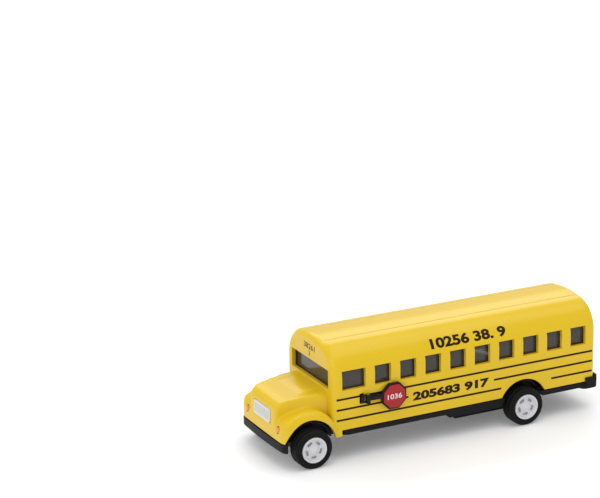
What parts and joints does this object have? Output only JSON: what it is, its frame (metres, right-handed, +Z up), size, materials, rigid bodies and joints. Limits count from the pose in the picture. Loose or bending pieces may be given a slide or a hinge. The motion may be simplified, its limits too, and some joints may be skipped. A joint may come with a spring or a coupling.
{
  "type": "toy school bus",
  "caption": "Bonneted toy school bus on four wheels with a spring motor on the rear axle, a hinged service door and a swing-out stop arm.",
  "frame": {"origin": "on the floor under the middle of the bus", "axes": "+X forward along the bus, +Y to its left, +Z up"},
  "size_m": [0.128, 0.041, 0.0417],
  "materials": {
    "body_yellow": "glossy moulded yellow",
    "base_black": "satin moulded black",
    "glazing_smoke": "clear smoked plastic",
    "rim_white": "pale silver-white plastic",
    "tyre_black": "matt soft black",
    "axle_steel": "drawn steel wire",
    "gear_plastic": "natural plastic",
    "spring_steel": "blued spring strip",
    "grille_silver": "silver paint on plastic",
    "lamp_amber": "clear amber plastic",
    "sign_red": "printed red",
    "sign_black": "glossy black plastic",
    "screw_zinc": "zinc plated"
  },
  "bodies": {
    "bus": {"body_shell": "body_yellow", "window_glazing": "glazing_smoke", "chassis": "base_black", "grille": "grille_silver", "lamp_left": "lamp_amber", "lamp_right": "lamp_amber", "front_screw": "screw_zinc", "rear_screw": "screw_zinc", "stop_bracket": "sign_black", "stop_pin": "axle_steel", "motor_case_left": "base_black", "motor_case_right": "base_black", "clutch_pin": "axle_steel", "drum_pin": "axle_steel"},
    "front_wheels": {"front_axle": "axle_steel", "front_left_rim": "rim_white", "front_left_tyre": "tyre_black", "front_right_rim": "rim_white", "front_right_tyre": "tyre_black"},
    "rear_wheels": {"rear_axle": "axle_steel", "axle_gear": "gear_plastic", "rear_left_rim": "rim_white", "rear_left_tyre": "tyre_black", "rear_right_rim": "rim_white", "rear_right_tyre": "tyre_black"},
    "clutch": {"clutch_gear": "gear_plastic"},
    "drum": {"spring_drum": "gear_plastic", "mainspring": "spring_steel"},
    "door": {"service_door": "body_yellow", "door_upper_pane": "glazing_smoke", "door_lower_pane": "glazing_smoke"},
    "sign": {"stop_arm": "sign_black", "stop_sign_face": "sign_red"}
  },
  "joints": [
    {"name": "front_wheels_roll", "type": "hinge", "parent": "bus", "child": "front_wheels", "pos_m": [0.0532, 0, 0.007], "axis": [0, 1, 0], "continuous": true},
    {"name": "rear_wheels_roll", "type": "hinge", "parent": "bus", "child": "rear_wheels", "pos_m": [-0.032, 0, 0.007], "axis": [0, 1, 0], "continuous": true},
    {"name": "clutch_spin", "type": "hinge", "parent": "bus", "child": "clutch", "pos_m": [-0.0252, 0, 0.01194], "axis": [0, 1, 0], "continuous": true},
    {"name": "drum_spin", "type": "hinge", "parent": "bus", "child": "drum", "pos_m": [-0.0151, 0, 0.01336], "axis": [0, 1, 0], "continuous": true},
    {"name": "door_swing", "type": "hinge", "parent": "bus", "child": "door", "pos_m": [0.0408, -0.0172, 0.0232], "axis": [0, 0, 1], "range_deg": [0, 80]},
    {"name": "stop_arm_swing", "type": "hinge", "parent": "bus", "child": "sign", "pos_m": [0.0318, 0.0192, 0.0217], "axis": [0, 0, -1], "range_deg": [0, 90]}
  ],
  "couplings": [
    {"joint": "clutch_spin", "follows": "rear_wheels_roll", "ratio": -0.55556},
    {"joint": "drum_spin", "follows": "rear_wheels_roll", "ratio": 0.23148}
  ]
}
